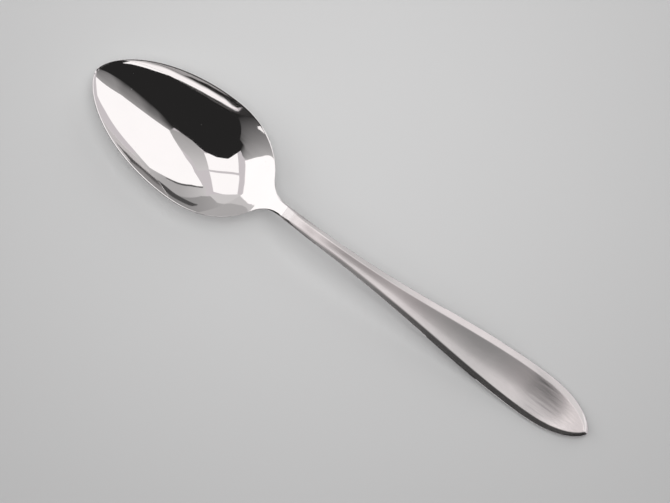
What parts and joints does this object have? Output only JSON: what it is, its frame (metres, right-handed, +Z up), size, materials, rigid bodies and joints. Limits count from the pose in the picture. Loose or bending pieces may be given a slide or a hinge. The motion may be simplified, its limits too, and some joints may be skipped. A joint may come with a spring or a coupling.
{
  "type": "tablespoon",
  "caption": "Tablespoon with a mirror-polished, egg-shaped bowl and an arched satin-finished handle, dished between bevelled edges and pointed at its end.",
  "frame": {"origin": "on the table, under the middle of the spoon's length and width", "axes": "+X from the tip of the bowl to the end of the handle, +Z up, out of the hollow of the bowl"},
  "size_m": [0.205, 0.0402, 0.0193],
  "materials": {
    "polished_steel": "mirror polish",
    "satin_steel": "satin, brushed along the handle"
  },
  "bodies": {
    "root": {"bowl": "polished_steel", "handle": "satin_steel"}
  },
  "joints": []
}
